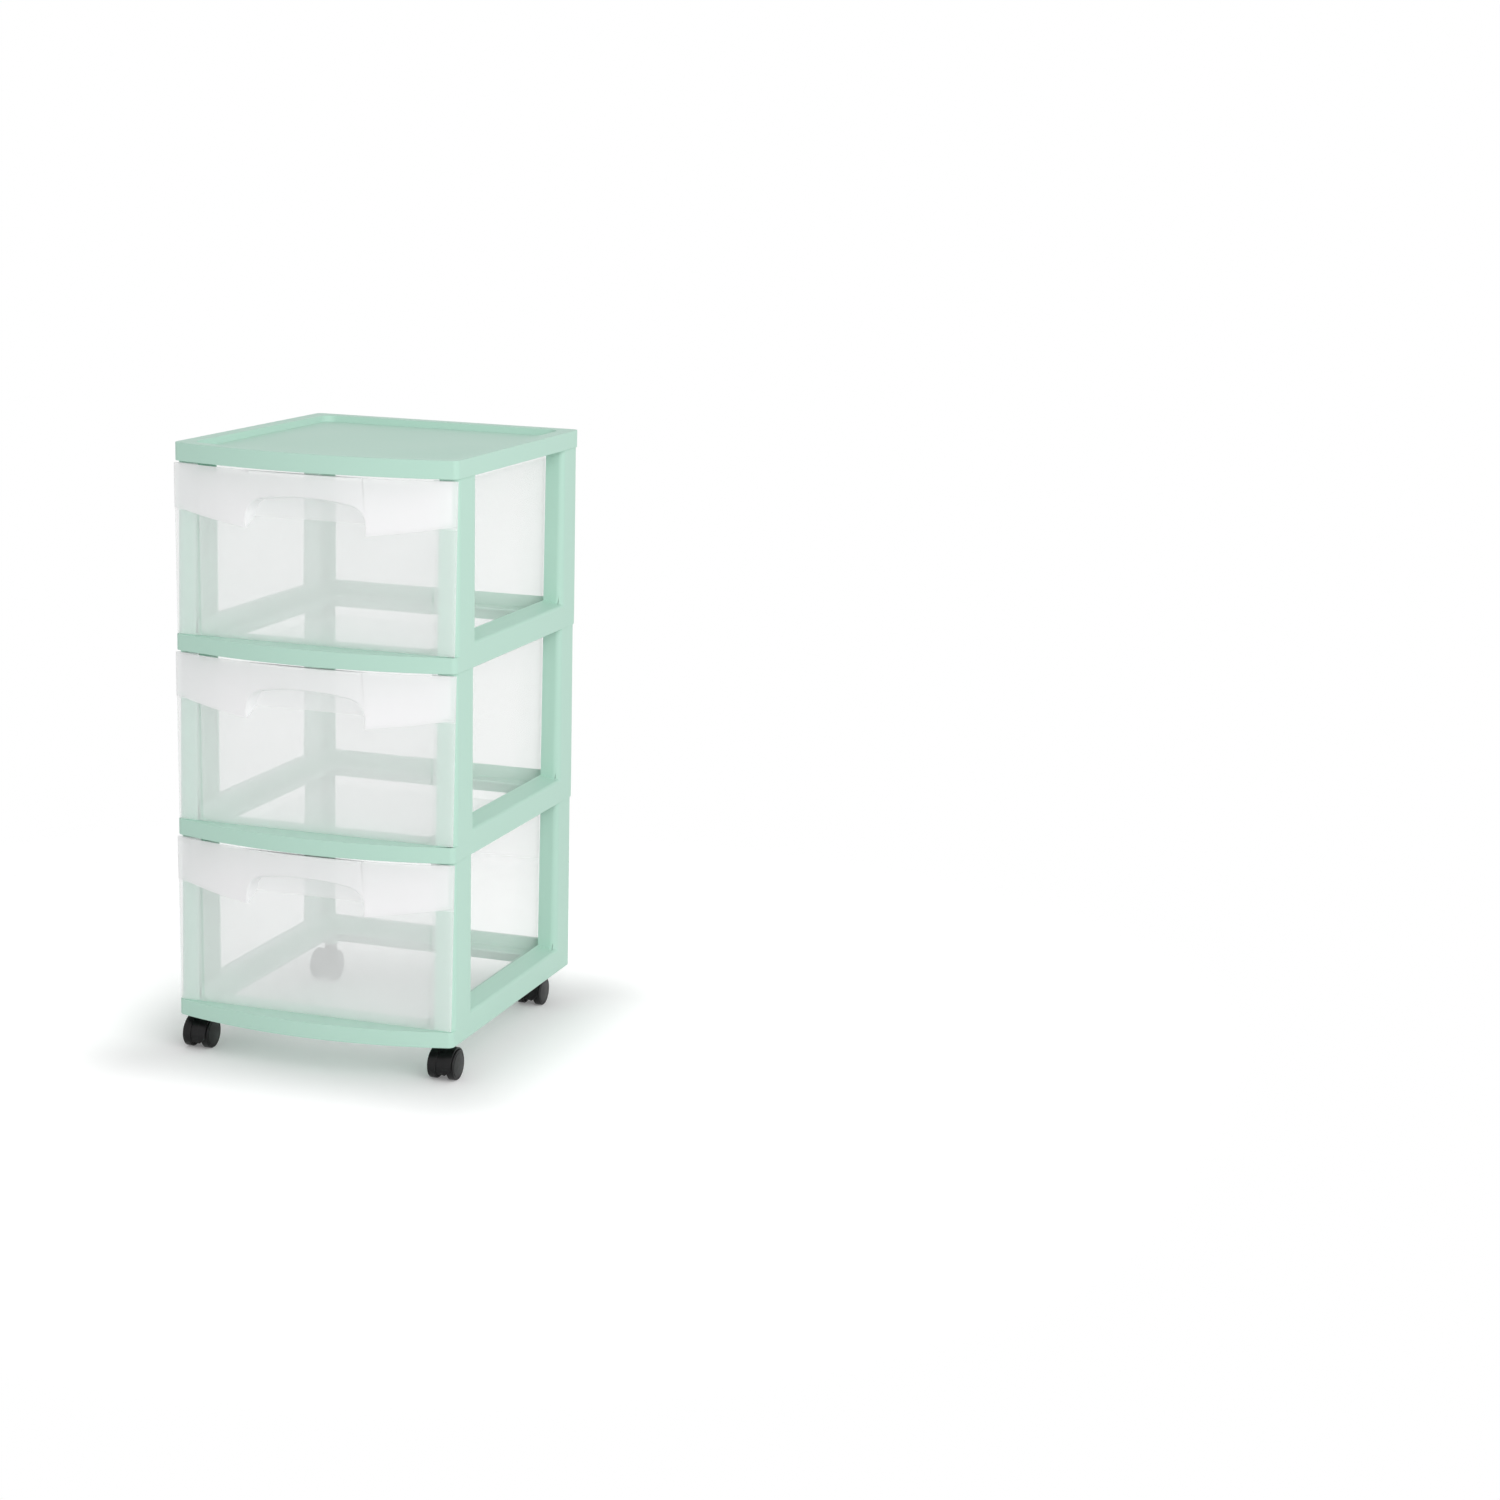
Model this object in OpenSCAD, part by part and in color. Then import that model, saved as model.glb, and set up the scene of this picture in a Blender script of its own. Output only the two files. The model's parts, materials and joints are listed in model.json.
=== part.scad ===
// Three-drawer storage tower on swivel casters.
//
// Three identical frame modules stack on each other, each with the drawer it carries, and a
// top cover closes the stack. X runs to the right, Y to the rear and Z up. The origin lies on
// the floor under the middle of the tower's bounding box. Inside a module, heights are counted
// from the bottom edge of its skirt, and Y from the middle between its straight rear face and
// its front corners. All sizes are in millimetres.

/* [Frame] */
// Width over the frame skirts
frame_w = 316; // [280:2:360]
// Depth from the front corners to the rear face
frame_d = 344; // [310:2:390]
// How far the bowed front stands out at the middle of the width
front_bow = 26; // [14:1:34]
// Radius of the upright corners
corner_r = 8; // [7:0.5:12]
// Wall thickness of the frame mouldings
frame_wall = 2.4; // [2:0.1:2.6]
// Height from one module to the next
tier_pitch = 198; // [180:2:240]
// Height of the bowed lip under each drawer
lip_h = 17; // [15:0.5:20]
// Height of the outer face of the side and rear rails
rail_h = 27; // [25:0.5:34]
// Rounding between a rail's face and its sloping ledge
ledge_r = 4; // [3.5:0.5:5]
// Width of the rails and posts, measured inwards from the outer face
ledge_w = 22; // [20:0.5:26]
// Angle at which the ledge rises inwards, in degrees
ledge_angle = 13; // [6:1:20]
// Width of the flanges that the drawer slides on
runner_w = 20; // [14:1:26]
// Depth of the shelf behind the front corners, under the drawer's front
front_shelf_d = 34; // [30:1:48]
// Length of the front posts along the side
post_front_l = 51.5; // [44:0.5:60]
// Length of the rear posts along the side
post_rear_l = 46; // [40:0.5:60]
// How far the front posts stand behind the front corners
post_setback = 2.5; // [2.3:0.1:4]
// How much a post draws in from its foot to its top
post_draft = 1.3; // [0.4:0.1:1.8]
// Height of the tongues that plug each post into the skirt above it
tongue_h = 9; // [6:0.5:9]
// Clearance round the tongues
tongue_gap = 0.2; // [0.1:0.05:0.4]

/* [Top cover] */
// Height of the cover's skirt
cover_h = 19; // [17:0.5:24]
// Depth of the tray in the cover
tray_d = 7; // [4:0.5:7]
// Width of the rim round the tray
rim_w = 16; // [14:0.5:24]
// Radius of the tray's corners
tray_r = 14; // [10:1:24]
// How much wider the tray is at its mouth than at its floor
tray_flare = 4; // [1:0.5:6]

/* [Drawer] */
// Wall thickness of the drawer
drawer_wall = 1.8; // [1.4:0.1:2.2]
// Thickness of the drawer's floor
drawer_floor = 2; // [1.6:0.1:2.6]
// Thickness of the flat front panel
panel_t = 2; // [1.6:0.1:2.2]
// Clearance between the drawer's floor and its runners
runner_gap = 0.3; // [0.2:0.05:0.6]
// Clearance between the drawer's rim and the frame on each side
side_gap = 0.8; // [0.5:0.1:1.5]
// Clearance above the front of the drawer
top_gap = 2; // [1.5:0.1:4]
// How far the rim of the box stands out from its walls
bead_w = 2; // [1.5:0.1:2.4]
// Height of that rim
bead_h = 2.4; // [1.8:0.1:3.5]
// How much each side of the drawer draws in from its top to its floor
drawer_draft = 2.1; // [1:0.1:3]
// How far the top of the box lies below the module above it
box_drop = 9.7; // [6:0.1:40]
// Clearance between the rear of the box and the rear rail
rear_gap = 1.5; // [1:0.5:12]
// Radius of the box's upright rear corners
box_corner_r = 14; // [8:1:24]
// Radius along the bottom of the box
box_foot_r = 6; // [4:0.5:9]
// Height of the bowed band across the drawer's front
band_h = 49; // [44:0.5:60]
// How steeply the underside of the band drops to the front, in degrees
band_pitch = 25; // [15:1:32]
// How steeply the underside of the band rises to the ends, in degrees
band_roll = 2.3; // [0:0.1:4]
// Width of the arched finger pull
arch_w = 131; // [100:1:150]
// Distance from the top of the drawer's front to the top of the arch
arch_drop = 24.5; // [19:0.5:29]
// Radius of the arch's crown
arch_crown_r = 275; // [200:5:400]
// Radius of the arch's shoulders
arch_shoulder_r = 20; // [12:0.5:22]
// Diameter of the round pads sunk into the drawer's floor
pad_d = 19; // [12:0.5:24]
// Depth of those pads
pad_depth = 0.5; // [0.3:0.1:0.6]
// Distance of the two front pads from the middle of the width
pad_x = 74.5; // [50:0.5:100]
// Distance of those two pads from the front corners
pad_y = 67; // [50:1:90]

/* [Casters] */
// Height from the floor to the underside of the lowest frame
caster_h = 40; // [39:0.5:46]
// Diameter of the wheels
wheel_d = 32; // [28:0.5:32]
// Width of a wheel's rim
wheel_w = 8.5; // [7:0.5:9]
// Distance between the two wheels' centres
wheel_track = 21.5; // [20:0.5:24]
// Distance from the stem to the axle, seen from above
swivel_offset = 10.5; // [9:0.5:12]
// Distance of the front stems from the side faces
stem_front_inset = 16; // [16:0.5:18]
// Distance of the rear stems from the side faces
stem_rear_inset = 30; // [28:0.5:34]
// Distance of the stems from the front corners and from the rear face
stem_end_inset = 30; // [28:0.5:34]
// Diameter of the stems
stem_d = 8; // [7:0.5:8]
// Diameter of the collar that carries the tower on a stem
collar_d = 13; // [12:0.5:14]
// Height of that collar
collar_h = 1.3; // [1:0.1:1.5]
// Height of the spring ring that holds a stem in its socket
ring_h = 1.8; // [1.4:0.1:2]
// Outer diameter of the sockets
socket_d = 17; // [15:0.5:18]
// Clearance between a stem and its socket, on the radius
socket_gap = 0.1; // [0.08:0.01:0.15]
// Diameter of the axles
axle_d = 5; // [4:0.5:6]
// Clearance between the stem and the hood that turns on it, on the radius
swivel_gap = 0.05; // [0.02:0.01:0.1]
// Clearance between the axle and a wheel's hub, on the radius
hub_gap = 0.05; // [0.02:0.01:0.1]
// Width of the hood over both wheels
hood_w = 26; // [24:0.5:27]
// Wall thickness of the hood
hood_t = 1.8; // [1.4:0.1:2.2]
// Clearance between a wheel and its hood
hood_gap = 0.8; // [0.5:0.1:1.2]
// Height of the hood's lower edge above the floor
hood_edge_h = 8; // [6:0.5:12]
// Angle at which the hood is cut back over the side of each wheel, in degrees
hood_cut_angle = 45; // [40:1:50]
// Width of the shallow valley round the middle of the hood
valley_w = 8; // [6:0.5:9]
// Depth of that valley
valley_depth = 1.2; // [0.8:0.1:1.4]
// Diameter of the neck that the stem turns in
neck_d = 14; // [13:0.5:15]
// Wall thickness of the wheels
wheel_t = 2.2; // [1.8:0.1:2.4]
// How far the disc on the outside of a wheel is domed
disc_dome = 0.6; // [0.3:0.1:1]

/* [Hidden] */
$fn = 64;
bow_facets = 720;
fillet_facets = 8;
over = 1;

casters = [
    ["front_left", -1, -1],
    ["front_right", 1, -1],
    ["rear_left", -1, 1],
    ["rear_right", 1, 1]
];
caster_pieces = ["stem", "hood", "axle", "wheel_left", "wheel_right"];

mint = [0.63, 0.83, 0.74];
clear_plastic = [0.88, 0.9, 0.91, 0.5];
black_nylon = [0.13, 0.13, 0.13];
steel = [0.7, 0.7, 0.72];

// The bowed front is one arc through both front corners and the middle of the front
bow_r = (pow(frame_w / 2, 2) + pow(front_bow, 2)) / (2 * front_bow);
front_y = -frame_d / 2;
rear_y = frame_d / 2;
nose_y = front_y - front_bow;
bow_centre_y = nose_y + bow_r;
// Moves the middle of a module to the middle of the whole box
mid_y = front_bow / 2;

shelf_z = lip_h - frame_wall;
inner_x = frame_w / 2 - ledge_w;
post_front_y = front_y + post_setback;
runner_x = inner_x - runner_w;
rear_shelf_y = rear_y - ledge_w;

panel_back_y = front_y + panel_t;
drawer_z = lip_h + runner_gap;
front_top = tier_pitch - top_gap;
box_top = tier_pitch - box_drop;
box_h = box_top - drawer_z;
box_half = inner_x - side_gap - bead_w;
box_rear_y = rear_shelf_y - rear_gap;
band_z = front_top - band_h;
arch_top = front_top - arch_drop;
front_half = frame_w / 2 - tongue_gap;

// Clearance along an axle or a stem, between pieces that turn past each other
end_gap = 0.3;
stem_y = frame_d / 2 - stem_end_inset;
// The sockets reach up into the shelf, and the stems end just under it
stem_grip = shelf_z - end_gap;
axle_z = wheel_d / 2;
wheel_face_x = (wheel_track - wheel_w) / 2;
hood_core_x = wheel_face_x - end_gap;
bay_r = wheel_d / 2 + hood_gap;
hood_r = bay_r + hood_t;
hood_top = caster_h - collar_h - end_gap;
// The hood's core is solid between the stem's hole and the axle
core_floor = 3.5;
stem_hole_z = axle_z + axle_d / 2 + core_floor;
stem_foot_z = stem_hole_z + end_gap;
// The grip ring sits in a groove near the top of the stem
groove_depth = 1;
ring_top_inset = 6;
ring_z = caster_h + stem_grip - ring_top_inset - ring_h;
ring_r = stem_d / 2 + socket_gap * 0.9;
ring_slit = 2;
// A wheel's cover disc, the groove round it and the rounded edges of its tread
disc_r = wheel_d / 2 - 2.8;
disc_groove_w = 0.8;
disc_groove_depth = 0.7;
tread_step = 0.2;
tread_r = 1.2;
tread_chamfer = 0.8;
hub_t = 2.2;
hub_end_x = wheel_w - wheel_t + end_gap;
axle_fit = 0.01;
dome_facets = 6;

// ---------------------------------------------------------------- outlines

// Points on an arc, from one angle to another
function arc(cx, cy, r, from, to) = [
    for (i = [0:fillet_facets])
        let (a = from + (to - from) * i / fillet_facets)
        [cx + r * cos(a), cy + r * sin(a)]
];

// Plan of a module: straight sides and rear, bowed front, rounded corners. inset draws it in.
module bowed_outline(inset = 0, radius = undef) {
    r = is_undef(radius) ? corner_r - inset : radius;
    reach = bow_r - inset;
    half = frame_w / 2 - inset;
    corner_x = half - r;
    corner_y = bow_centre_y - sqrt(pow(reach - r, 2) - pow(corner_x, 2));
    toward = [corner_x, corner_y - bow_centre_y] / (reach - r);
    tangent = [corner_x, corner_y] + toward * (r + over);
    intersection() {
        translate([0, bow_centre_y]) circle(reach, $fn = bow_facets);
        polygon([
            [-corner_x, corner_y], [corner_x, corner_y], tangent,
            [tangent.x, nose_y - over], [-tangent.x, nose_y - over], [-tangent.x, tangent.y]
        ]);
    }
    for (side = [-1, 1], y = [corner_y, rear_y - inset - r])
        translate([side * corner_x, y]) circle(r);
    translate([-half, corner_y]) square([2 * half, rear_y - inset - r - corner_y]);
    translate([-corner_x, corner_y]) square([2 * corner_x, rear_y - inset - corner_y]);
}

// Rectangle between two corners, with all four corners rounded
module rounded_rect(low, high, r) {
    translate([low.x + r, low.y]) square([high.x - low.x - 2 * r, high.y - low.y]);
    translate([low.x, low.y + r]) square([high.x - low.x, high.y - low.y - 2 * r]);
    for (x = [low.x + r, high.x - r], y = [low.y + r, high.y - r])
        translate([x, y]) circle(r);
}

// Stands a profile drawn in X and Z up, and extrudes it along Y between two planes
module along_y(from, to) {
    translate([0, to, 0]) rotate([90, 0, 0]) linear_extrude(to - from) children();
}

// Stands a profile drawn in Y and Z up, and extrudes it along X between two planes
module along_x(from, to) {
    translate([from, 0, 0]) rotate([90, 0, 90]) linear_extrude(to - from) children();
}

// ---------------------------------------------------------------- frame module

// Section of a rail, with X running inwards from its outer face
function rail_points(inset, low) = concat(
    [[inset, low]],
    arc(ledge_r, rail_h - ledge_r, ledge_r - inset, 180, 90 + ledge_angle),
    [[ledge_w - inset, ledge_height(inset)], [ledge_w - inset, low]]
);

function ledge_height(inset) = rail_h - ledge_r + (ledge_r - inset) / cos(ledge_angle)
    + (ledge_w - inset - ledge_r) * tan(ledge_angle);

// A hollow rail, open below, with its outer face at x = face
module rail(face, from, to) {
    translate([face, 0, 0]) mirror([1, 0, 0]) along_y(from, to)
        difference() {
            polygon(rail_points(0, 0));
            polygon(rail_points(frame_wall, -over));
        }
}

// A block with rounded outer corners: plain up to foot_h, then drawn in by draft at its top
module post_block(from, to, inset, foot_h, height, draft, reach) {
    face = frame_w / 2 - inset;
    centre_x = frame_w / 2 - corner_r;
    r = corner_r - inset;
    along_y(from + corner_r, to - corner_r)
        polygon([[reach, 0], [face, 0], [face, foot_h], [face - draft, height], [reach, height]]);
    along_x(reach, centre_x)
        polygon([
            [from + inset, 0], [to - inset, 0], [to - inset, foot_h],
            [to - inset - draft, height], [from + inset + draft, height], [from + inset, foot_h]
        ]);
    for (y = [from + corner_r, to - corner_r])
        translate([centre_x, y, 0]) rotate_extrude()
            polygon([[0, 0], [r, 0], [r, foot_h], [r - draft, height], [0, height]]);
}

// The walls of a post, an upright channel that is open to the inside
module post_channel(from, to, inset, foot_h, height, draft, reach) {
    difference() {
        post_block(from, to, inset, foot_h, height, draft, reach);
        translate([0, 0, -over])
            post_block(
                from, to, inset + frame_wall, foot_h + over, height + 2 * over, draft, reach - over
            );
    }
}

// A post: a plain foot beside the rail, a drafted shaft, and the tongue at its top
module post(from, to) {
    foot_h = rail_h - shelf_z;
    root_h = 2 * frame_wall;
    tongue_inset = frame_wall + tongue_gap;
    translate([0, 0, shelf_z])
        post_channel(from, to, 0, foot_h, tier_pitch - shelf_z, post_draft, inner_x);
    translate([0, 0, tier_pitch - root_h])
        post_channel(
            from, to, tongue_inset, root_h, root_h + tongue_h, 0, inner_x + tongue_inset
        );
}

// Shelf plate: the bowed front strip, two runners and a rear strip round an open middle
module shelf() {
    translate([0, 0, shelf_z]) linear_extrude(frame_wall)
        difference() {
            union() {
                intersection() {
                    bowed_outline();
                    translate([-frame_w, nose_y - over])
                        square([2 * frame_w, front_bow + front_shelf_d + over]);
                }
                translate([-inner_x - frame_wall / 2, front_y + front_shelf_d - over])
                    square([
                        2 * inner_x + frame_wall,
                        frame_d - front_shelf_d - ledge_w + frame_wall / 2 + over
                    ]);
            }
            rounded_rect(
                [-runner_x, front_y + front_shelf_d], [runner_x, rear_shelf_y - runner_w], corner_r
            );
        }
}

// Skirt, rails, shelf and four posts in one moulding
module frame_module() {
    linear_extrude(lip_h) difference() {
        bowed_outline();
        bowed_outline(frame_wall);
    }
    shelf();
    for (side = [0, 1]) mirror([side, 0, 0]) {
        rail(frame_w / 2, post_front_y + corner_r, rear_y - corner_r);
        post(post_front_y, post_front_y + post_front_l);
        post(rear_y - post_rear_l, rear_y);
    }
    rotate([0, 0, 90]) rail(rear_y, corner_r - frame_w / 2, frame_w / 2 - corner_r);
}

// Places something at each stem, in the module's own frame
module at_stems() {
    for (caster = casters) at_stem(caster) children();
}

module at_stem(caster) {
    inset = caster[2] < 0 ? stem_front_inset : stem_rear_inset;
    translate([caster[1] * (frame_w / 2 - inset), caster[2] * stem_y, 0]) children();
}

// The lowest frame also has a blind socket for each caster stem
module frame_with_sockets() {
    difference() {
        union() {
            frame_module();
            at_stems() cylinder(h = shelf_z + frame_wall / 2, d = socket_d);
        }
        at_stems() translate([0, 0, -over])
            cylinder(h = shelf_z + over, r = stem_d / 2 + socket_gap);
    }
}

module frame_at(tier, sockets = false) {
    color(mint) translate([0, mid_y, caster_h + tier * tier_pitch])
        if (sockets) frame_with_sockets();
        else frame_module();
}

// ---------------------------------------------------------------- top cover

// The tray's hollow, wider at its mouth. grow widens it to make the outside of its wall.
module tray_block(grow, height) {
    half = frame_w / 2 - rim_w;
    linear_extrude(height, scale = 1 + tray_flare / (2 * half))
        bowed_outline(rim_w + tray_flare / 2 - grow, tray_r + grow);
}

module top_cover() {
    tray_z = cover_h - tray_d;
    color(mint) translate([0, mid_y, caster_h + 3 * tier_pitch])
        difference() {
            union() {
                difference() {
                    linear_extrude(cover_h) bowed_outline();
                    translate([0, 0, -over])
                        linear_extrude(cover_h - frame_wall + over) bowed_outline(frame_wall);
                }
                translate([0, 0, tray_z - frame_wall])
                    tray_block(frame_wall, tray_d + frame_wall);
            }
            translate([0, 0, tray_z]) tray_block(0, tray_d + over);
        }
}

// ---------------------------------------------------------------- drawer

// Front of the drawer seen from ahead, with sides that draw in downwards
module front_outline(inset = 0, low = drawer_z, high = front_top) {
    slope = drawer_draft / (front_top - drawer_z);
    foot = front_half - drawer_draft - inset + (low - drawer_z) * slope;
    head = foot + (high - low) * slope;
    polygon([[-foot, low], [foot, low], [head, high], [-head, high]]);
}

// The arch of the finger pull, seen from ahead: a flat crown between two rounded shoulders.
// grow widens it to make its wall.
module arch_outline(grow = 0) {
    crown_z = arch_top - arch_crown_r;
    shoulder_x = arch_w / 2 - arch_shoulder_r;
    shoulder_z = crown_z + sqrt(pow(arch_crown_r - arch_shoulder_r, 2) - pow(shoulder_x, 2));
    half_sweep = atan2(shoulder_x, shoulder_z - crown_z);
    foot = [arch_w / 2 + grow, band_z - band_h];
    polygon(concat(
        [foot],
        arc(shoulder_x, shoulder_z, arch_shoulder_r + grow, 0, 90 - half_sweep),
        arc(0, crown_z, arch_crown_r + grow, 90 - half_sweep, 90 + half_sweep),
        arc(-shoulder_x, shoulder_z, arch_shoulder_r + grow, 90 + half_sweep, 180),
        [[-foot.x, foot.y]]
    ));
}

// The band as a solid, from its bowed face back to a plane. inset makes the hollow inside it.
module band_block(inset, high, back) {
    size = 2 * frame_w;
    lift = inset / cos(band_pitch);
    difference() {
        intersection() {
            linear_extrude(high) intersection() {
                translate([0, bow_centre_y]) circle(bow_r - inset, $fn = bow_facets);
                translate([-frame_w, nose_y]) square([2 * frame_w, back - nose_y]);
            }
            along_y(nose_y - over, back) front_outline(inset, band_z - band_h / 2, high);
        }
        for (side = [0, 1]) mirror([side, 0, 0])
            translate([arch_w / 2, front_y, band_z + lift]) rotate([band_pitch, -band_roll, 0])
                translate([-size, -size, -size]) cube([2 * size, 2 * size, size]);
    }
}

// The hollow behind the band, open at the top and, between the box's walls, to the box
module band_hollow() {
    band_block(drawer_wall, front_top + over, front_y);
    intersection() {
        band_block(drawer_wall, front_top + over, panel_back_y + over);
        along_y(nose_y, front_y + panel_t + over)
            box_profile(drawer_wall, front_top + over);
    }
}

// Section of the box across its width, with rounded lower edges
module box_profile(inset, high) {
    slope = drawer_draft / box_h;
    low = drawer_z + (inset > 0 ? drawer_floor : 0);
    r = box_foot_r - inset;
    foot = box_half - drawer_draft - inset;
    head = foot + (high - low) * slope;
    polygon(concat(
        arc(foot - r, low + r, r, -90, 0), [[head, high], [-head, high]],
        arc(r - foot, low + r, r, 180, 270)
    ));
}

// The box as a solid: its plan, cross section and long section all at once
module box_block(inset, high) {
    low = drawer_z + (inset > 0 ? drawer_floor : 0);
    rear = box_rear_y - inset;
    r = box_foot_r - inset;
    start = inset > 0 ? panel_back_y : panel_back_y - panel_t / 2;
    corner = box_corner_r - inset;
    intersection() {
        linear_extrude(high) box_plan(-inset, start);
        along_y(start, rear + over) box_profile(inset, high);
        along_x(-frame_w, frame_w) polygon(concat(
            [[start, high], [start, low]], arc(rear - r, low + r, r, -90, 0), [[rear, high]]
        ));
    }
}

// Plan of the box, with rounded rear corners. grow widens it.
module box_plan(grow, start) {
    half = box_half + grow;
    rear = box_rear_y + grow;
    r = box_corner_r + grow;
    translate([-half, start]) square([2 * half, rear - r - start]);
    translate([r - half, start]) square([2 * half - 2 * r, rear - start]);
    for (side = [-1, 1]) translate([side * (half - r), rear - r]) circle(r);
}

// Round pads that the moulding tool's pins leave in the floor: two in front, one in the middle
module floor_pads() {
    for (place = [[-pad_x, front_y + pad_y], [pad_x, front_y + pad_y], [0, 0]])
        translate([place.x, place.y, drawer_z + drawer_floor - pad_depth])
            cylinder(h = pad_depth + over, d = pad_d);
}

// Box, rim, flat front panel, bowed band and finger pull in one moulding
module drawer() {
    difference() {
        union() {
            difference() {
                union() {
                    along_y(front_y, panel_back_y) front_outline();
                    band_block(0, front_top, panel_back_y);
                }
                band_hollow();
            }
            intersection() {
                band_block(0, front_top, panel_back_y);
                along_y(nose_y - over, panel_back_y) arch_outline(drawer_wall);
            }
            difference() {
                union() {
                    box_block(0, box_top);
                    translate([0, 0, box_top - bead_h]) linear_extrude(bead_h)
                        box_plan(bead_w, panel_back_y - panel_t / 2);
                }
                box_block(drawer_wall, box_top + over);
            }
        }
        along_y(nose_y - over, front_y) arch_outline();
        floor_pads();
    }
}

module drawer_at(tier) {
    color(clear_plastic) translate([0, mid_y, caster_h + tier * tier_pitch]) drawer();
}

// ---------------------------------------------------------------- casters

// Puts a caster piece at its stem, with Z counted from the floor
module at_caster(caster) {
    translate([0, mid_y, 0]) at_stem(caster) children();
}

// Turns a piece whose axis is Z so that it lies along X, on the axle
module on_axle() {
    translate([0, -swivel_offset, axle_z]) rotate([0, 90, 0]) children();
}

// Steel pin with a collar under the socket and a groove for the grip ring
module stem() {
    color(steel) difference() {
        union() {
            translate([0, 0, stem_foot_z])
                cylinder(h = caster_h + stem_grip - stem_foot_z, d = stem_d);
            translate([0, 0, caster_h - collar_h]) cylinder(h = collar_h, d = collar_d);
        }
        translate([0, 0, ring_z - end_gap / 2]) difference() {
            cylinder(h = ring_h + end_gap, d = stem_d + over);
            translate([0, 0, -over])
                cylinder(h = ring_h + 2 * over + end_gap, r = stem_d / 2 - groove_depth);
        }
    }
}

// Split spring ring in the stem's groove
module grip_ring() {
    translate([0, 0, ring_z]) difference() {
        cylinder(h = ring_h, r = ring_r);
        translate([0, 0, -over])
            cylinder(h = ring_h + 2 * over, r = stem_d / 2 - groove_depth + socket_gap);
        translate([-ring_slit / 2, 0, -over]) cube([ring_slit, stem_d, ring_h + 2 * over]);
    }
}

module grip_rings() {
    color(steel) for (caster = casters) at_caster(caster) grip_ring();
}

// Nylon hood: a round cover over both treads, a core between the wheels and the stem's neck
module hood() {
    color(black_nylon) difference() {
        union() {
            on_axle() cylinder(h = hood_w, r = hood_r, center = true);
            translate([0, 0, axle_z]) cylinder(h = hood_top - axle_z, d = neck_d);
        }
        on_axle() difference() {
            cylinder(h = valley_w, r = hood_r + over, center = true);
            cylinder(h = valley_w + over, r = hood_r - valley_depth, center = true);
        }
        for (side = [0, 1]) mirror([side, 0, 0]) {
            translate([hood_core_x, 0, 0]) on_axle() cylinder(h = hood_w, r = bay_r);
            translate([hood_core_x, -swivel_offset, hood_edge_h]) rotate([0, -hood_cut_angle, 0])
                translate([-over, -hood_w, -wheel_d]) cube([2 * hood_w, 2 * hood_w, wheel_d]);
        }
        translate([-hood_w, -swivel_offset - hood_w, hood_edge_h - wheel_d])
            cube([2 * hood_w, 2 * hood_w, wheel_d]);
        translate([0, 0, stem_hole_z]) cylinder(h = caster_h, r = stem_d / 2 + swivel_gap);
        on_axle() cylinder(h = hood_w, r = axle_d / 2 + axle_fit, center = true);
    }
}

// Steel pin through the hood's core, into the hub of each wheel
module axle() {
    color(steel) on_axle()
        cylinder(h = 2 * (wheel_face_x + hub_end_x - end_gap), d = axle_d, center = true);
}

// Wheel section: domed cover disc, groove, tread, hollow inside and a blind hub
function wheel_points() =
    let (r = wheel_d / 2, w = wheel_w, hub = axle_d / 2 + hub_t, bore = axle_d / 2 + hub_gap)
    concat(
        [
            for (i = [0:dome_facets])
                [i / dome_facets * disc_r, w + disc_dome * (1 - pow(i / dome_facets, 2))]
        ],
        [[disc_r, w - disc_groove_depth], [disc_r + disc_groove_w, w - disc_groove_depth]],
        [[disc_r + disc_groove_w, w - tread_step]],
        arc(r - tread_r, w - tread_step - tread_r, tread_r, 90, 0),
        [[r, tread_chamfer], [r - tread_chamfer, 0], [r - wheel_t, 0], [r - wheel_t, w - wheel_t]],
        [[hub, w - wheel_t], [hub, 0], [bore, 0], [bore, hub_end_x], [0, hub_end_x]]
    );

module wheel(side) {
    color(black_nylon) mirror([side < 0 ? 1 : 0, 0, 0])
        translate([wheel_face_x, 0, 0]) on_axle() rotate_extrude() polygon(wheel_points());
}

module caster_piece(piece) {
    if (piece == "stem") stem();
    if (piece == "hood") hood();
    if (piece == "axle") axle();
    if (piece == "wheel_left") wheel(-1);
    if (piece == "wheel_right") wheel(1);
}

// ---------------------------------------------------------------- nodes

top_cover();
frame_at(2);  // frame_top
frame_at(1);  // frame_middle
frame_at(0, true);  // frame_bottom
drawer_at(2);  // drawer_top
drawer_at(1);  // drawer_middle
drawer_at(0);  // drawer_bottom
grip_rings();
for (caster = casters, piece = caster_pieces)
    at_caster(caster) caster_piece(piece);
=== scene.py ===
"""The looks of a three-drawer storage tower on swivel casters, built round its CAD frame."""
import json
import math

import bmesh
import bpy
from mathutils import Matrix, Vector
from mathutils.bvhtree import BVHTree


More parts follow.
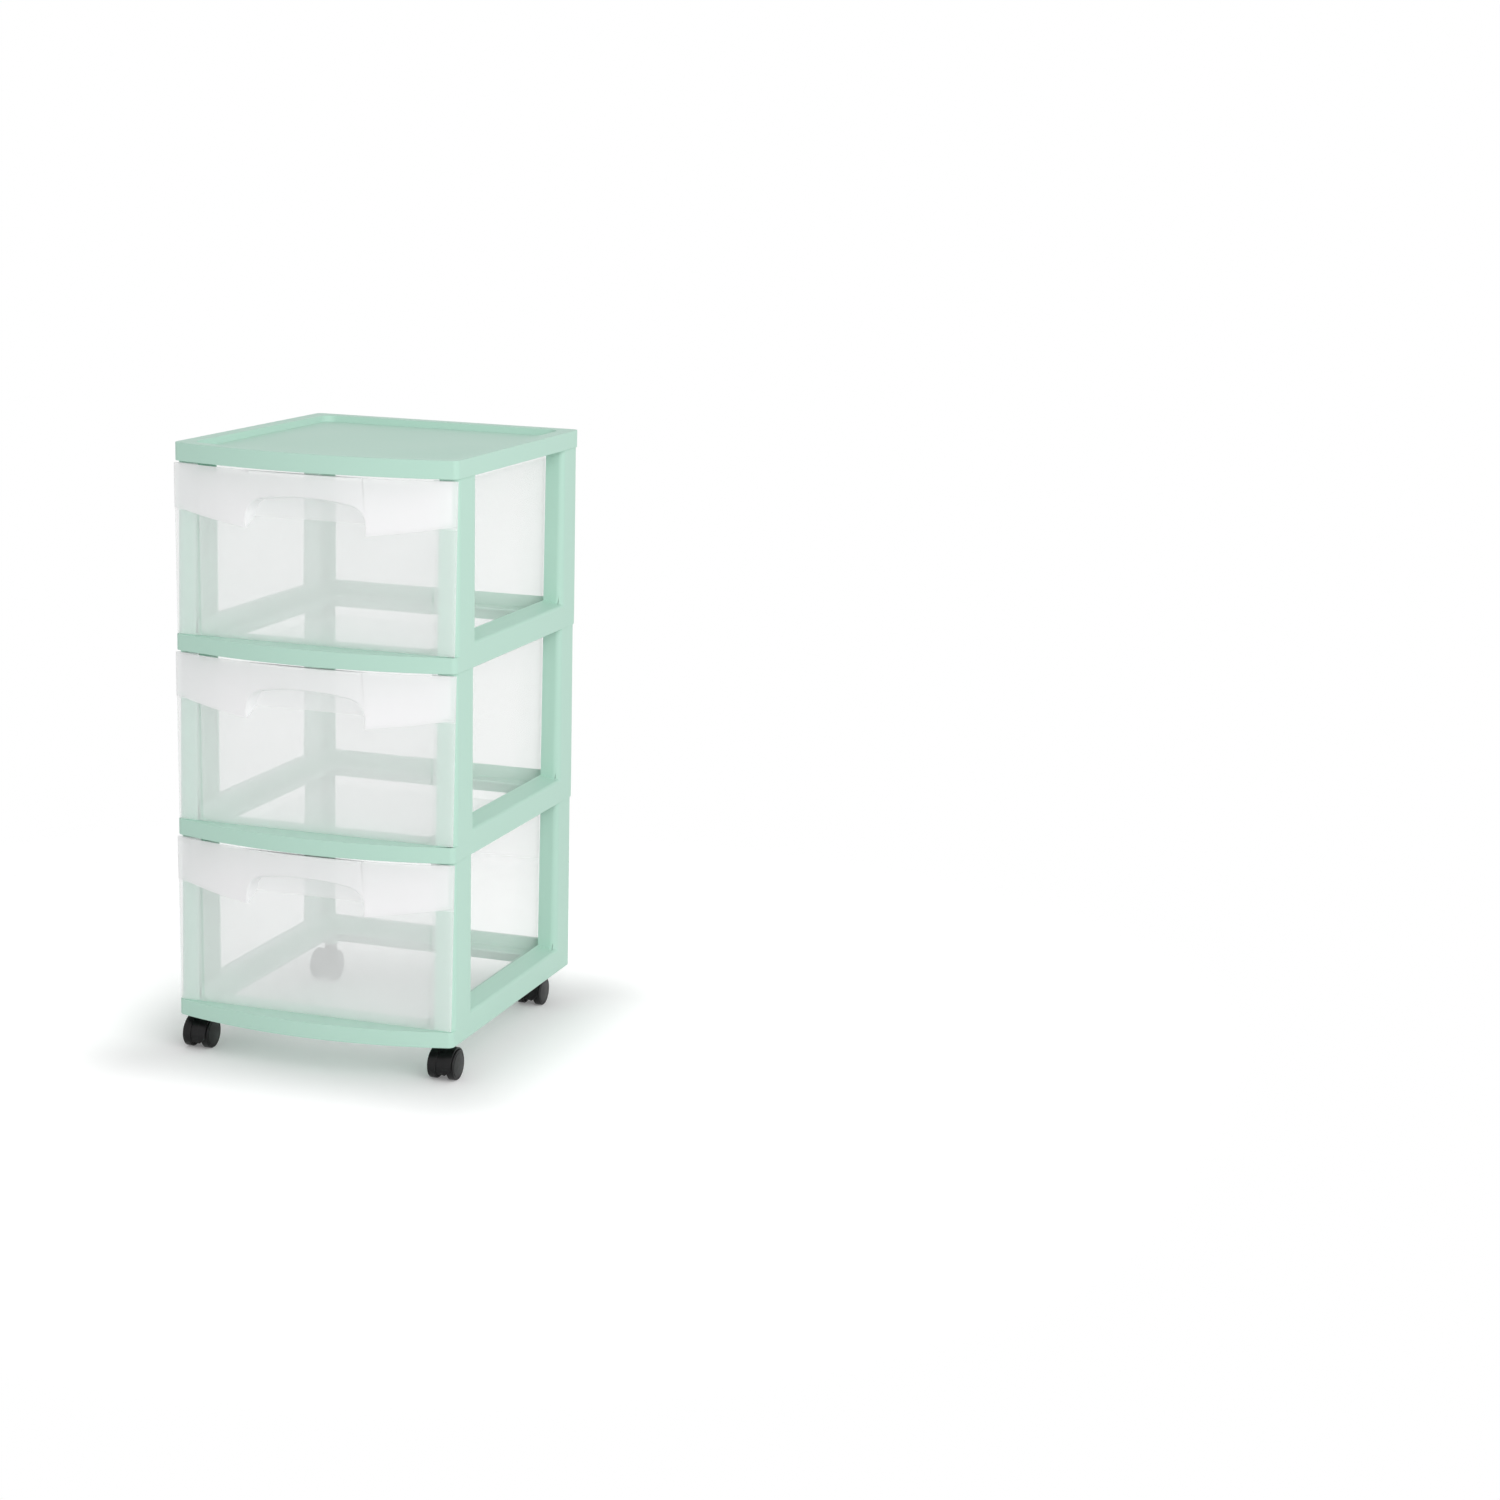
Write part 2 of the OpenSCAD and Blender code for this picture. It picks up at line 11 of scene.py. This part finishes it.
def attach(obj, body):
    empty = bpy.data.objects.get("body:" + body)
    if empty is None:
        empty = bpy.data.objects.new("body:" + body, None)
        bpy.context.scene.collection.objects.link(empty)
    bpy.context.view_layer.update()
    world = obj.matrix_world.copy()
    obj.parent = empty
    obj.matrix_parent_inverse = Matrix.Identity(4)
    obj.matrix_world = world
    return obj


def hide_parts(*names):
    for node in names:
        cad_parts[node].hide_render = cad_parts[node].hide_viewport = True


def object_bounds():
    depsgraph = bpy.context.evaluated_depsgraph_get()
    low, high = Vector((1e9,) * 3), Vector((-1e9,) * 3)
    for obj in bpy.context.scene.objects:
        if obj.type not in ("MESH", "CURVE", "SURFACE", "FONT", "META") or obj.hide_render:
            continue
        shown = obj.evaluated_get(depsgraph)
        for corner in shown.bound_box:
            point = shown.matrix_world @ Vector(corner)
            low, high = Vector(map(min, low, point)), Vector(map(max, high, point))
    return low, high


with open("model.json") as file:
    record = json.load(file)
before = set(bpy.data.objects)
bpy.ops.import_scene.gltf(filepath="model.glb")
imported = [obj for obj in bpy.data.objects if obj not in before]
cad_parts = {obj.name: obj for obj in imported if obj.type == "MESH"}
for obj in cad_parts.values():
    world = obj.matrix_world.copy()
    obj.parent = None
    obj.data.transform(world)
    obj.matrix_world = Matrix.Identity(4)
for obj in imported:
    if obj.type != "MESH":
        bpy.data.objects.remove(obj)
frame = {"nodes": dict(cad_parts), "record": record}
cad_low, cad_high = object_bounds()

MM = 0.001
WHITE = (1, 1, 1, 1)
TIERS = ("bottom", "middle", "top")
CORNERS = ("front_left", "front_right", "rear_left", "rear_right")
BODY_OF = {
    node: body
    for body, nodes in frame["record"]["behaviour"]["bodies"].items()
    for node in nodes
}


# ---------------------------------------------------------------- materials

POLYPROPYLENE_IOR = 1.49
NYLON_IOR = 1.53

# Nearly all of a noise lies between these two values
NOISE_LOW, NOISE_HIGH = 0.3, 0.7

# Of the light that the haze in a see-through wall catches, the share that goes on through it
GLOW_SHARE = 0.3
# The share of its haze that such a wall has for shadows, so that the inside stays bright
SHADOW_SHARE = 0.2


def linear(hex_colour):
    """An sRGB hex colour as the linear RGBA that Blender's sockets take."""
    shares = [int(hex_colour[i:i + 2], 16) / 255 for i in (0, 2, 4)]
    light = [c / 12.92 if c <= 0.04045 else ((c + 0.055) / 1.055) ** 2.4 for c in shares]
    return (*light, 1)


def add(tree, kind, settings=None, **links):
    """Adds one node. Settings are its properties, and links feed its inputs.

    Each link is a socket or a value. Base_Color is the input of that name, and _3 is input
    number 3."""
    node = tree.nodes.new(kind)
    for name, value in (settings or {}).items():
        setattr(node, name, value)
    for name, value in links.items():
        key = int(name[1:]) if name[1:].isdigit() else name.replace("_", " ")
        socket = node.inputs[key]
        if isinstance(value, bpy.types.NodeSocket):
            tree.links.new(value, socket)
        else:
            socket.default_value = value
    return node


def new_material(name):
    """An empty node material, with its tree and its object coordinates."""
    material = bpy.data.materials.new(name)
    material.use_nodes = True
    tree = material.node_tree
    tree.nodes.clear()
    place = add(tree, "ShaderNodeTexCoord").outputs["Object"]
    return material, tree, place


def moulded_bump(tree, place, grain, height):
    """The faint unevenness of a moulded wall: grain is its size and height its depth, in mm.

    The etching of a real tool is finer than a pixel here, so the grain is drawn coarser."""
    noise = add(tree, "ShaderNodeTexNoise", Vector=place, Scale=1 / (grain * MM), Detail=2.0)
    return add(
        tree, "ShaderNodeBump", Height=noise.outputs["Fac"], Distance=height * MM, Strength=1.0
    ).outputs["Normal"]


def uneven_sheen(tree, place, patch, detail, smooth, rough):
    """Roughness that wanders between smooth and rough in patches of so many mm.

    Gives the roughness and the noise that it follows."""
    noise = add(
        tree, "ShaderNodeTexNoise", Vector=place, Scale=1 / (patch * MM), Detail=detail
    ).outputs["Fac"]
    roughness = add(
        tree, "ShaderNodeMapRange", Value=noise,
        _1=NOISE_LOW, _2=NOISE_HIGH, _3=smooth, _4=rough
    ).outputs[0]
    return roughness, noise


def mint_polypropylene():
    """Polypropylene coloured mint all through, injection moulded in a finely etched tool.

    It looks soft and waxy: a broad satin sheen, and a pale colour that varies a little, as
    the pigment does where the melt flowed."""
    material, tree, place = new_material("mint_moulded_polypropylene")
    roughness, flow = uneven_sheen(tree, place, patch=111, detail=3.0, smooth=0.42, rough=0.5)
    colour = add(
        tree, "ShaderNodeMix", {"data_type": "RGBA"},
        _0=flow, _6=linear("B9DECE"), _7=linear("BFE2D3")
    )
    surface = add(
        tree, "ShaderNodeBsdfPrincipled", Base_Color=colour.outputs[2],
        Roughness=roughness, IOR=POLYPROPYLENE_IOR,
        Normal=moulded_bump(tree, place, grain=1.5, height=0.02)
    )
    add(tree, "ShaderNodeOutputMaterial", Surface=surface.outputs[0])
    return material


def see_through_polypropylene(name, colour, haze, roughness, grain):
    """Uncoloured polypropylene: see-through where the tool was polished, frosted where etched.

    haze is the share of one face that hides what lies behind it. Some of the light that the
    haze catches goes on through the wall, so it glows from either side."""
    material, tree, place = new_material(name)
    skin = add(
        tree, "ShaderNodeBsdfPrincipled", Base_Color=linear(colour), Roughness=roughness,
        IOR=POLYPROPYLENE_IOR, Normal=moulded_bump(tree, place, grain=grain, height=0.02)
    )
    glow = add(tree, "ShaderNodeBsdfTranslucent", Color=linear(colour))
    milk = add(
        tree, "ShaderNodeMixShader", _0=GLOW_SHARE, _1=skin.outputs[0], _2=glow.outputs[0]
    )
    path = add(tree, "ShaderNodeLightPath")
    hidden = add(
        tree, "ShaderNodeMapRange", Value=path.outputs["Is Shadow Ray"],
        _3=haze, _4=haze * SHADOW_SHARE
    )
    clear = add(tree, "ShaderNodeBsdfTransparent")
    wall = add(
        tree, "ShaderNodeMixShader", _0=hidden.outputs[0], _1=clear.outputs[0], _2=milk.outputs[0]
    )
    add(tree, "ShaderNodeOutputMaterial", Surface=wall.outputs[0])
    return material


def black_nylon():
    """Black nylon, moulded, with the dull and slightly scuffed sheen of hoods and wheels."""
    material, tree, place = new_material("black_moulded_nylon")
    roughness, _ = uneven_sheen(tree, place, patch=7.14, detail=4.0, smooth=0.3, rough=0.42)
    surface = add(
        tree, "ShaderNodeBsdfPrincipled", Base_Color=linear("0D0D0E"),
        Roughness=roughness, IOR=NYLON_IOR, Specular_IOR_Level=0.25,
        Normal=moulded_bump(tree, place, grain=0.6, height=0.01)
    )
    add(tree, "ShaderNodeOutputMaterial", Surface=surface.outputs[0])
    return material


def plated_steel():
    """Steel pins, turned and bright zinc plated: a mirror that fine marks dull here and there."""
    material, tree, place = new_material("zinc_plated_steel")
    roughness, _ = uneven_sheen(tree, place, patch=1.11, detail=2.0, smooth=0.22, rough=0.38)
    surface = add(
        tree, "ShaderNodeBsdfPrincipled", Base_Color=linear("C6C8CC"), Metallic=1.0,
        Roughness=roughness
    )
    add(tree, "ShaderNodeOutputMaterial", Surface=surface.outputs[0])
    return material


MINT = mint_polypropylene()
CLEAR = see_through_polypropylene(
    "clear_moulded_polypropylene", "FAFAFA", haze=0.15, roughness=0.1, grain=6.0
)
MILKY = see_through_polypropylene(
    "milky_moulded_polypropylene", "FBFAFB", haze=0.42, roughness=0.14, grain=6.0
)
FROSTED = see_through_polypropylene(
    "frosted_moulded_polypropylene", "FCFBFC", haze=0.6, roughness=0.45, grain=1.2
)
NYLON = black_nylon()
STEEL = plated_steel()


# ---------------------------------------------------------------- pieces

CASTER_HEIGHT = 40 * MM
MODULE_PITCH = 198 * MM
MODULE_BASE = {tier: CASTER_HEIGHT + level * MODULE_PITCH for level, tier in enumerate(TIERS)}

# The front is bowed, so the tower's square part lies this far behind the middle of the whole
SQUARE_MIDDLE_Y = 13 * MM
PANEL_FRONT_Y = SQUARE_MIDDLE_Y - 172 * MM
PANEL_BACK_Y = SQUARE_MIDDLE_Y - 170 * MM
# How far the foot of a drawer's frosted band lies above the base of its module
BAND_FOOT_RISE = 147 * MM
ARCH_HALF_WIDTH = 66 * MM

ARCH_ROUNDING, ARCH_STEPS = 2.8 * MM, 3
FRAME_ROUNDING = 0.5 * MM
THIN_WALL_ROUNDING = 0.35 * MM
EDGE_STEPS = 2

WELD_DISTANCE = 0.03 * MM
CUT_DISTANCE = 0.001 * MM
FLAT_ANGLE = math.radians(0.3)
SHARP_ANGLE = math.radians(30)
# By the y of its normal, a face looks forward below the first and runs front to back within
# the second
LOOKS_FORWARD, RUNS_BACK = -0.9, 0.05
# A vertex that rounding leaves farther from the old skin than this share of the radius has
# strayed, and goes back onto it
STRAY_SHARE = 0.6
# How far behind the panel a face may have its middle and still be cut at the band's foot
CUT_SLACK = 0.1 * MM
# How far off the panel a face may have its middle and still take the panel's finish
FINISH_SLACK = 0.3 * MM


def merged_mesh(node):
    """A CAD node's mesh with its loose triangles joined and its flat faces made whole."""
    mesh = bmesh.new()
    mesh.from_mesh(frame["nodes"][node].data)
    bmesh.ops.remove_doubles(mesh, verts=mesh.verts, dist=WELD_DISTANCE)
    bmesh.ops.dissolve_limit(
        mesh, angle_limit=FLAT_ANGLE, verts=mesh.verts, edges=mesh.edges
    )
    return mesh


def round_over(mesh, edges, radius, steps):
    """Rounds the edges given, in so many flat steps."""
    bmesh.ops.bevel(
        mesh, geom=edges, offset=radius, offset_type="OFFSET", segments=steps, profile=0.5,
        affect="EDGES", clamp_overlap=False
    )


def round_arch(mesh):
    """Rounds the front edge of the finger pull well over, so that it is kind to the fingers."""
    rim = []
    for edge in mesh.edges:
        inside = all(
            abs(vert.co.x) < ARCH_HALF_WIDTH and vert.co.y < PANEL_FRONT_Y for vert in edge.verts
        )
        if inside and edge.is_manifold and edge.is_convex:
            foremost, other = sorted(face.normal.y for face in edge.link_faces)
            if foremost < LOOKS_FORWARD and abs(other) < RUNS_BACK:
                rim.append(edge)
    round_over(mesh, rim, ARCH_ROUNDING, ARCH_STEPS)


def round_edges(mesh, radius):
    """Rounds a mesh's sharp edges a little, as a moulding tool does, and keeps it in its skin."""
    skin = BVHTree.FromBMesh(mesh)
    low = [min(vert.co[axis] for vert in mesh.verts) for axis in range(3)]
    high = [max(vert.co[axis] for vert in mesh.verts) for axis in range(3)]
    sharp = [
        edge for edge in mesh.edges
        if edge.is_manifold and edge.calc_face_angle() > SHARP_ANGLE
    ]
    round_over(mesh, sharp, radius, EDGE_STEPS)
    for vert in mesh.verts:
        nearest, _, _, distance = skin.find_nearest(vert.co)
        if distance > STRAY_SHARE * radius:
            vert.co = nearest
        vert.co = [min(max(c, least), most) for c, least, most in zip(vert.co, low, high)]


def put_in_place(node, mesh, *materials):
    """Makes a finished mesh the piece that replaces a CAD node, on the node's own body."""
    data = bpy.data.meshes.new(f"{node}_moulded")
    mesh.to_mesh(data)
    for material in materials:
        data.materials.append(material)
    data.shade_smooth()
    piece = bpy.data.objects.new(f"{node}_moulded", data)
    bpy.context.scene.collection.objects.link(piece)
    flat = piece.modifiers.new("flat faces stay flat", "WEIGHTED_NORMAL")
    # The most: large faces alone decide how a vertex is shaded
    flat.weight = 100
    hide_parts(node)
    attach(piece, BODY_OF[node])


def dress(node, material):
    """Gives a CAD node that keeps its own shape its material."""
    data = frame["nodes"][node].data
    data.materials.clear()
    data.materials.append(material)


def mould(node, radius, material):
    """Replaces a CAD node by the same shape with its edges rounded."""
    mesh = merged_mesh(node)
    round_edges(mesh, radius)
    put_in_place(node, mesh, material)


def place_copies(kind, tiers, mesh, *materials):
    """Puts a copy of a piece of the middle module in place in each of the modules named."""
    for tier in tiers:
        piece = mesh.copy()
        rise = MODULE_BASE[tier] - MODULE_BASE["middle"]
        bmesh.ops.translate(piece, vec=(0, 0, rise), verts=piece.verts)
        put_in_place(f"{kind}_{tier}", piece, *materials)


def mould_upper_frames():
    """The two upper frames come from one mould. The lowest differs by its caster sockets."""
    mesh = merged_mesh("frame_middle")
    round_edges(mesh, FRAME_ROUNDING)
    place_copies("frame", ("middle", "top"), mesh, MINT)


def cut_front(mesh, height):
    """Cuts a drawer's front at a height, so that one finish can end there and another begin."""
    front = [
        face for face in mesh.faces
        if face.calc_center_median().y < PANEL_BACK_Y + CUT_SLACK
    ]
    parts = set(front)
    for face in front:
        parts.update(face.edges)
        parts.update(face.verts)
    bmesh.ops.bisect_plane(
        mesh, geom=list(parts), dist=CUT_DISTANCE, plane_co=(0, 0, height), plane_no=(0, 0, 1)
    )


def sort_faces(mesh):
    """Puts a mesh's faces in the order of their corners, so that every run gives the same mesh.

    A cut, and the rounding after it, leave them in an order that changes from run to run."""
    mesh.verts.index_update()
    in_order = sorted(mesh.faces, key=lambda face: [vert.index for vert in face.verts])
    ranks = {face: rank for rank, face in enumerate(in_order)}
    mesh.faces.sort(key=ranks.get)


def finish_at(middle, band_foot):
    """The finish of a drawer's face by where its middle lies: on the box, panel or band."""
    if middle.y > PANEL_BACK_Y + FINISH_SLACK:
        return CLEAR
    if middle.y > PANEL_FRONT_Y - FINISH_SLACK and middle.z < band_foot:
        return MILKY
    return FROSTED


def mould_drawers():
    """Three drawers from one mould, with three finishes: clear box, milky panel, frosted band."""
    finishes = (CLEAR, MILKY, FROSTED)
    band_foot = MODULE_BASE["middle"] + BAND_FOOT_RISE
    mesh = merged_mesh("drawer_middle")
    round_arch(mesh)
    cut_front(mesh, band_foot)
    round_edges(mesh, THIN_WALL_ROUNDING)
    sort_faces(mesh)
    for face in mesh.faces:
        finish = finish_at(face.calc_center_median(), band_foot)
        face.material_index = finishes.index(finish)
    place_copies("drawer", TIERS, mesh, *finishes)


def fit_casters():
    """Four casters: a steel stem and axle each, and a hood and two wheels of black nylon."""
    for corner in CORNERS:
        dress(f"stem_{corner}", STEEL)
        dress(f"axle_{corner}", STEEL)
        mould(f"hood_{corner}", THIN_WALL_ROUNDING, NYLON)
        dress(f"wheel_left_{corner}", NYLON)
        dress(f"wheel_right_{corner}", NYLON)


mould("top_cover", FRAME_ROUNDING, MINT)
mould_upper_frames()
mould("frame_bottom", FRAME_ROUNDING, MINT)
mould_drawers()
dress("grip_rings", STEEL)
fit_casters()


# ---------------------------------------------------------------- camera, floor and light

# Fitted to the photograph: it stands to the right of the tower's front and a little above it
PHOTO_PIXELS = 1500
FOCAL_PIXELS = 2968.3
SENSOR_WIDTH = 36
CAMERA_PLACE = (1.3046, -2.8960, 1.0040)
CAMERA_AZIMUTH, CAMERA_ELEVATION, CAMERA_ROLL = map(math.radians, (16.935, 12.164, 1.775))

LAMP_AIM = Vector((0, 0, 0.33))


def direction(azimuth, elevation):
    """The way out from the tower. Azimuth 0 is to the front, and a quarter turn to the right."""
    return Vector((
        math.sin(azimuth) * math.cos(elevation),
        -math.cos(azimuth) * math.cos(elevation),
        math.sin(elevation),
    ))


def add_camera():
    """The photograph's camera, with its focal length, place, aim and roll."""
    data = bpy.data.cameras.new("photo_camera")
    data.sensor_width = SENSOR_WIDTH
    data.lens = FOCAL_PIXELS / PHOTO_PIXELS * data.sensor_width
    camera = bpy.data.objects.new("photo_camera", data)
    bpy.context.scene.collection.objects.link(camera)
    ahead = -direction(CAMERA_AZIMUTH, CAMERA_ELEVATION)
    right = ahead.cross(Vector((0, 0, 1))).normalized()
    up = right.cross(ahead)
    turn = Matrix((right, up, -ahead)).transposed()
    turn = turn @ Matrix.Rotation(CAMERA_ROLL, 3, "Z")
    camera.matrix_world = Matrix.Translation(CAMERA_PLACE) @ turn.to_4x4()
    bpy.context.scene.camera = camera


def add_softbox(name, azimuth, elevation, distance, size, power):
    """An area lamp that looks at the tower's middle. Its azimuth and elevation are degrees."""
    data = bpy.data.lights.new(name, "AREA")
    data.size = size
    data.energy = power
    lamp = bpy.data.objects.new(name, data)
    bpy.context.scene.collection.objects.link(lamp)
    outward = direction(math.radians(azimuth), math.radians(elevation))
    lamp.location = LAMP_AIM + outward * distance
    lamp.rotation_mode = "QUATERNION"
    lamp.rotation_quaternion = outward.to_track_quat("Z", "Y")


def seen_directly(tree):
    """1 on rays that show a thing to the camera, straight on, mirrored or through glass."""
    path = add(tree, "ShaderNodeLightPath")
    either = add(
        tree, "ShaderNodeMath", {"operation": "MAXIMUM"},
        _0=path.outputs["Is Camera Ray"], _1=path.outputs["Is Glossy Ray"]
    )
    return add(
        tree, "ShaderNodeMath", {"operation": "MAXIMUM"},
        _0=either.outputs[0], _1=path.outputs["Is Transmission Ray"]
    ).outputs[0]


def light_world(level, zenith):
    """A white surround, which lights the tower with less than the white that it shows.

    level is that light's strength from the horizon and below, and zenith its strength from
    straight above."""
    world = bpy.data.worlds.new("studio")
    bpy.context.scene.world = world
    world.use_nodes = True
    tree = world.node_tree
    tree.nodes.clear()
    ray = add(tree, "ShaderNodeTexCoord").outputs["Generated"]
    height = add(tree, "ShaderNodeSeparateXYZ", Vector=ray).outputs["Z"]
    lighting = add(tree, "ShaderNodeMapRange", Value=height, _3=level, _4=zenith)
    strength = add(
        tree, "ShaderNodeMapRange", Value=seen_directly(tree), _3=lighting.outputs[0], _4=1.0
    )
    back = add(tree, "ShaderNodeBackground", Color=WHITE, Strength=strength.outputs[0])
    add(tree, "ShaderNodeOutputWorld", Surface=back.outputs[0])


def add_floor(radius, painted_shadow_reach, fade_end, under, around):
    """A pale studio floor that fades into the white surround.

    What it shows is lifted by a glow, by under below the tower and by around from
    painted_shadow_reach on. The weaker glow near the tower is a painted shadow round the casters,
    added to the real shadow that the paper takes. The floor fades from there to fade_end. Both
    are distances from the tower's rectangle."""
    bpy.ops.mesh.primitive_circle_add(vertices=96, radius=radius, fill_type="NGON")
    floor = bpy.context.object
    floor.name = "studio_floor"
    material, tree, place = new_material("white_studio_paper")
    aside = add(tree, "ShaderNodeVectorMath", {"operation": "ABSOLUTE"}, _0=place)
    beyond = add(
        tree, "ShaderNodeVectorMath", {"operation": "SUBTRACT"},
        _0=aside.outputs[0], _1=(cad_high.x, cad_high.y, 0)
    )
    apart = add(
        tree, "ShaderNodeVectorMath", {"operation": "MAXIMUM"}, _0=beyond.outputs[0], _1=(0, 0, 0)
    )
    distance = add(
        tree, "ShaderNodeVectorMath", {"operation": "LENGTH"}, _0=apart.outputs[0]
    ).outputs["Value"]
    fade = add(
        tree, "ShaderNodeMapRange", {"interpolation_type": "SMOOTHSTEP"},
        Value=distance, _1=painted_shadow_reach, _2=fade_end
    )
    # Painted shadow: the glow that lifts the floor is weaker near the tower, so the floor shows
    # darker round the casters
    painted_shadow_lift = add(
        tree, "ShaderNodeMapRange", {"interpolation_type": "SMOOTHSTEP"},
        Value=distance, _2=painted_shadow_reach, _3=under, _4=around
    )
    paper = add(tree, "ShaderNodeBsdfDiffuse", Color=linear("F4F4F4"))
    glow = add(
        tree, "ShaderNodeMath", {"operation": "MULTIPLY"},
        _0=seen_directly(tree), _1=painted_shadow_lift.outputs[0]
    )
    shown = add(tree, "ShaderNodeEmission", Color=WHITE, Strength=glow.outputs[0])
    both = add(tree, "ShaderNodeAddShader", _0=paper.outputs[0], _1=shown.outputs[0])
    clear = add(tree, "ShaderNodeBsdfTransparent")
    mixed = add(
        tree, "ShaderNodeMixShader", _0=fade.outputs[0], _1=both.outputs[0], _2=clear.outputs[0]
    )
    add(tree, "ShaderNodeOutputMaterial", Surface=mixed.outputs[0])
    floor.data.materials.append(material)


add_camera()
light_world(level=0.68, zenith=0.52)
add_softbox("key", azimuth=50, elevation=26, distance=3.0, size=2.4, power=40)
# under and around are the floor's glow near the tower and beyond it; the lower glow near the
# tower is a painted shadow
add_floor(radius=1.6, painted_shadow_reach=0.16, fade_end=0.8, under=0.14, around=0.5)
bpy.context.scene.view_settings.view_transform = "Standard"
# A line of sight into the tower passes both skins of many see-through walls
bpy.context.scene.cycles.transparent_max_bounces = 48
